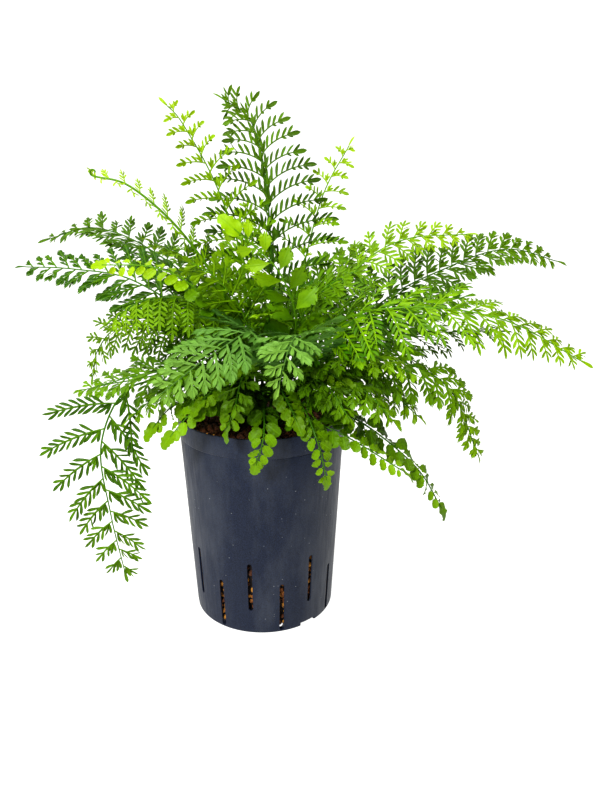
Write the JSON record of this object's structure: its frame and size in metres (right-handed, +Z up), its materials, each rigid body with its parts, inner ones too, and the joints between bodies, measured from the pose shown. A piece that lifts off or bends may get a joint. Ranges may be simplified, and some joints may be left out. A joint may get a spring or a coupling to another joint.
{
  "type": "potted fern",
  "caption": "Arching fern with finely divided fronds growing from one crown in a tall, slotted, tapered culture pot filled with clay granules.",
  "frame": {"origin": "centre of the pot's flat foot pad, on the surface that the pot stands on", "axes": "+Z up the pot's axis, the front of the plant toward -Y, +X to its right"},
  "size_m": [0.4742, 0.3492, 0.4617],
  "materials": {
    "pot_plastic": "satin moulded dark blue-grey polypropylene with a fine speckle",
    "clay": "dry fired expanded clay, orange-brown, rough",
    "rooted_peat": "dark fibrous peat and roots, matt",
    "crown_scales": "brown papery scales, matt",
    "leaf_deep_green": "deep green mature leaf, semi-gloss",
    "leaf_mid_green": "mid-green leaf, semi-gloss",
    "leaf_grey_green": "pale grey-green leaf, satin",
    "leaf_lime_green": "young lime-green leaf, satin"
  },
  "bodies": {
    "root": {"culture_pot": "pot_plastic", "clay_granules": "clay", "root_plug": "rooted_peat", "crown": "crown_scales", "tall_frond_1": "leaf_deep_green", "tall_frond_2": "leaf_lime_green", "tall_frond_3": "leaf_lime_green", "tall_frond_4": "leaf_mid_green", "tall_frond_5": "leaf_mid_green", "unfurling_frond_1": "leaf_lime_green", "unfurling_frond_2": "leaf_lime_green", "upper_frond_1": "leaf_lime_green", "upper_frond_2": "leaf_lime_green", "upper_frond_3": "leaf_lime_green", "upper_frond_4": "leaf_deep_green", "upper_frond_5": "leaf_mid_green", "upper_frond_6": "leaf_lime_green", "upper_frond_7": "leaf_mid_green", "upper_frond_8": "leaf_lime_green", "arching_frond_1": "leaf_deep_green", "arching_frond_2": "leaf_mid_green", "arching_frond_3": "leaf_lime_green", "arching_frond_4": "leaf_deep_green", "arching_frond_5": "leaf_mid_green", "arching_frond_6": "leaf_deep_green", "arching_frond_7": "leaf_mid_green", "arching_frond_8": "leaf_mid_green", "arching_frond_9": "leaf_deep_green", "arching_frond_10": "leaf_deep_green", "arching_frond_11": "leaf_mid_green", "arching_frond_12": "leaf_mid_green", "front_frond_1": "leaf_grey_green", "front_frond_2": "leaf_grey_green", "front_frond_3": "leaf_mid_green", "front_frond_4": "leaf_mid_green", "front_frond_5": "leaf_deep_green", "front_frond_6": "leaf_mid_green", "front_frond_7": "leaf_mid_green", "front_frond_8": "leaf_mid_green", "hanging_frond_1": "leaf_mid_green", "hanging_frond_2": "leaf_deep_green", "low_frond_1": "leaf_mid_green", "low_frond_2": "leaf_deep_green", "low_frond_4": "leaf_mid_green", "low_frond_5": "leaf_mid_green", "low_frond_3": "leaf_mid_green", "young_frond_1": "leaf_deep_green", "young_frond_2": "leaf_mid_green", "young_frond_3": "leaf_mid_green", "young_frond_4": "leaf_mid_green", "young_frond_5": "leaf_mid_green", "young_frond_6": "leaf_deep_green", "young_frond_7": "leaf_deep_green", "young_frond_8": "leaf_mid_green", "young_frond_9": "leaf_mid_green", "young_frond_10": "leaf_deep_green", "young_frond_11": "leaf_mid_green", "young_frond_12": "leaf_mid_green", "young_frond_13": "leaf_deep_green", "young_frond_14": "leaf_mid_green"}
  },
  "joints": []
}
